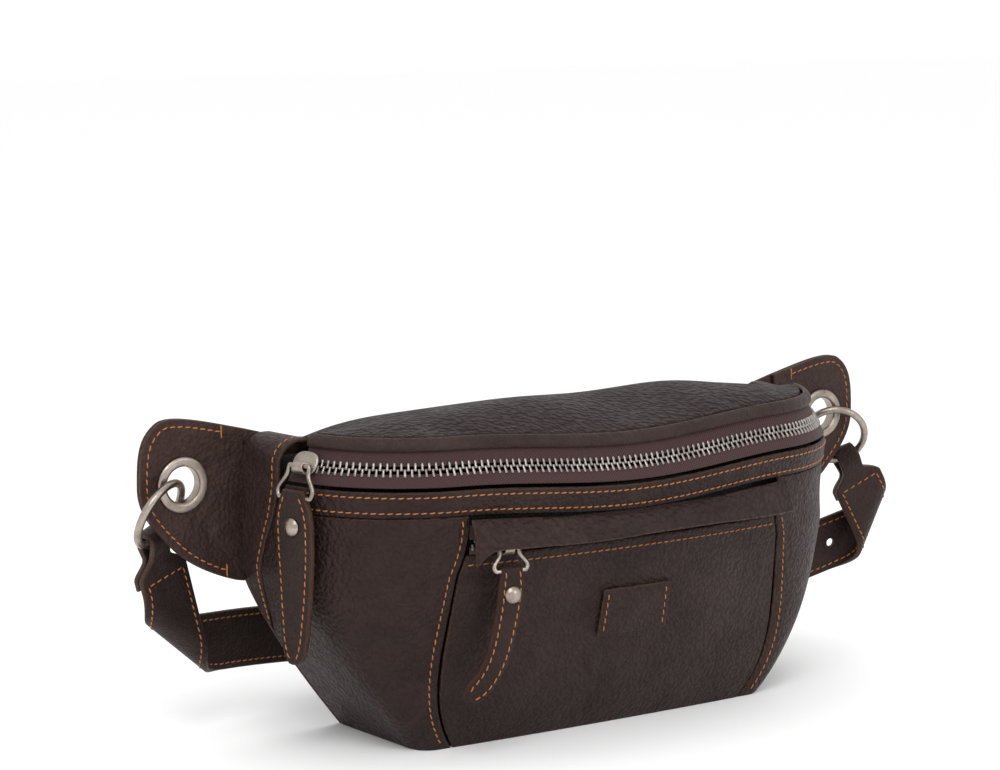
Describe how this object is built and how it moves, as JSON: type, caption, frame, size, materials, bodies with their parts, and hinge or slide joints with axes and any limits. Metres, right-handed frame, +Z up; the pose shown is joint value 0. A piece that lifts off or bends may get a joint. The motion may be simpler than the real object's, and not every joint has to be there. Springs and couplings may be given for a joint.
{
  "type": "waist pack",
  "caption": "Leather waist pack with a curved metal zip round its top, a zipped front pocket under a flap, eyelet wings with rings and a buckled belt.",
  "frame": {"origin": "middle of the flat base of the pouch, on the surface it stands on", "axes": "+X along the width, towards the right-hand wing seen from the front; +Y towards the wearer; +Z up"},
  "size_m": [0.3925, 0.1442, 0.135],
  "materials": {
    "leather": "dark brown waxed grain with orange stitching",
    "strap": "dark brown strap leather, raw edges, orange stitching",
    "lining": "plain dark woven lining",
    "zip_tape": "brown twill zip tape",
    "zip_teeth": "polished metal zip teeth",
    "nickel": "antique nickel, softly brushed"
  },
  "bodies": {
    "pouch": {"front_panel_left": "leather", "front_panel_right": "leather", "base_panel": "leather", "pocket_front": "leather", "pocket_back": "lining", "zip_band": "leather", "front_tape": "zip_tape", "front_teeth": "zip_teeth", "side_panel_left": "leather", "side_panel_right": "leather", "back_panel": "leather", "lining_front": "lining", "lining_back": "lining", "pocket_tape_lower": "zip_tape", "pocket_teeth_lower": "zip_teeth", "pocket_teeth_upper": "zip_teeth", "pocket_tape_upper": "zip_tape", "pocket_patch": "leather", "eyelet_left": "nickel", "eyelet_right": "nickel", "washer_left": "nickel", "washer_right": "nickel", "strap_left": "strap", "buckle_frame": "nickel", "buckle_tongue": "nickel", "strap_right": "strap", "keeper_1": "strap", "keeper_2": "strap"},
    "lid": {"rear_tape": "zip_tape", "rear_teeth": "zip_teeth", "top_lip": "leather", "top_panel": "leather"},
    "flap": {"pocket_flap": "leather"},
    "main_slider": {"main_slider": "nickel"},
    "main_pull": {"main_bail": "nickel", "main_pull_tab": "leather", "main_pull_rivet": "nickel"},
    "pocket_slider": {"pocket_slider": "nickel"},
    "pocket_pull": {"pocket_bail": "nickel", "pocket_pull_tab": "leather", "pocket_pull_rivet": "nickel"},
    "ring_left": {"ring_left": "nickel"},
    "ring_right": {"ring_right": "nickel"}
  },
  "joints": [
    {"name": "main_slider_run", "type": "hinge", "parent": "pouch", "child": "main_slider", "pos_m": [-0.0709, 0.0113, 0.1175], "axis": [0, 0, 1], "range_deg": [0, 50]},
    {"name": "main_pull_swing", "type": "hinge", "parent": "main_slider", "child": "main_pull", "pos_m": [-0.13243, -0.01049, 0.118], "axis": [-0.3338, 0.9426, 0], "range_deg": [0, 90]},
    {"name": "lid_lift", "type": "hinge", "parent": "pouch", "child": "lid", "pos_m": [0, 0.0281, 0.1213], "axis": [-1, 0, 0], "range_deg": [0, 30]},
    {"name": "flap_lift", "type": "hinge", "parent": "pouch", "child": "flap", "pos_m": [0, -0.05, 0.097], "axis": [-1, 0, 0], "range_deg": [0, 35]},
    {"name": "pocket_slider_run", "type": "hinge", "parent": "pouch", "child": "pocket_slider", "pos_m": [0, 0.45913, 0.087], "axis": [0, 0, 1], "range_deg": [0, 13]},
    {"name": "pocket_pull_swing", "type": "hinge", "parent": "pocket_slider", "child": "pocket_pull", "pos_m": [-0.06196, -0.05291, 0.08435], "axis": [-0.9928, 0.1201, 0], "range_deg": [0, 60]},
    {"name": "ring_left_spin", "type": "hinge", "parent": "pouch", "child": "ring_left", "pos_m": [-0.17385, 0.028, 0.09749], "axis": [-0.4925, 0.7547, 0.4334], "continuous": true},
    {"name": "ring_right_spin", "type": "hinge", "parent": "pouch", "child": "ring_right", "pos_m": [0.17385, 0.028, 0.09749], "axis": [0.4925, 0.7547, 0.4334], "continuous": true}
  ]
}
